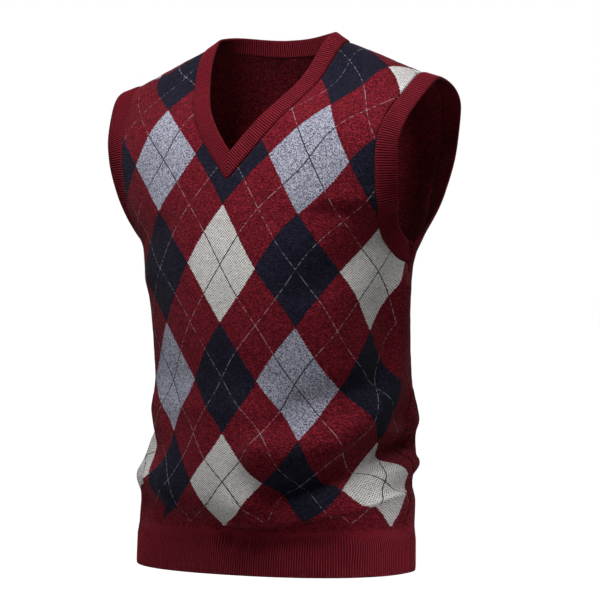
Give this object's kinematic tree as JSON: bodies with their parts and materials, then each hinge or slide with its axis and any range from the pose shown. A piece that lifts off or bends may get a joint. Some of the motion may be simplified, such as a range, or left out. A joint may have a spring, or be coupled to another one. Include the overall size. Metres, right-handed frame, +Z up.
{
  "type": "sweater vest",
  "caption": "Knitted V-neck sweater vest with an argyle front and ribbed neck, armhole and hem bands, in its hollow worn shape.",
  "frame": {"origin": "where the wearer's shoulders carry it: halfway between the two shoulder seams, at their middle height, above the inside of the chest", "axes": "+Z up along the worn body, -Y the front of the vest, +X the wearer's left"},
  "size_m": [0.4402, 0.2864, 0.6457],
  "materials": {
    "argyle_knit": "fine jersey knit, matt, argyle of burgundy, navy, light grey and grey-blue",
    "plain_knit": "fine jersey knit, matt, burgundy",
    "rib_knit": "one-and-one rib knit, matt, burgundy"
  },
  "bodies": {
    "root": {"front_panel": "argyle_knit", "back_panel": "plain_knit", "hem_rib_front": "rib_knit", "hem_rib_back": "rib_knit", "neckband": "rib_knit", "armband_left": "rib_knit", "armband_right": "rib_knit"}
  },
  "joints": []
}
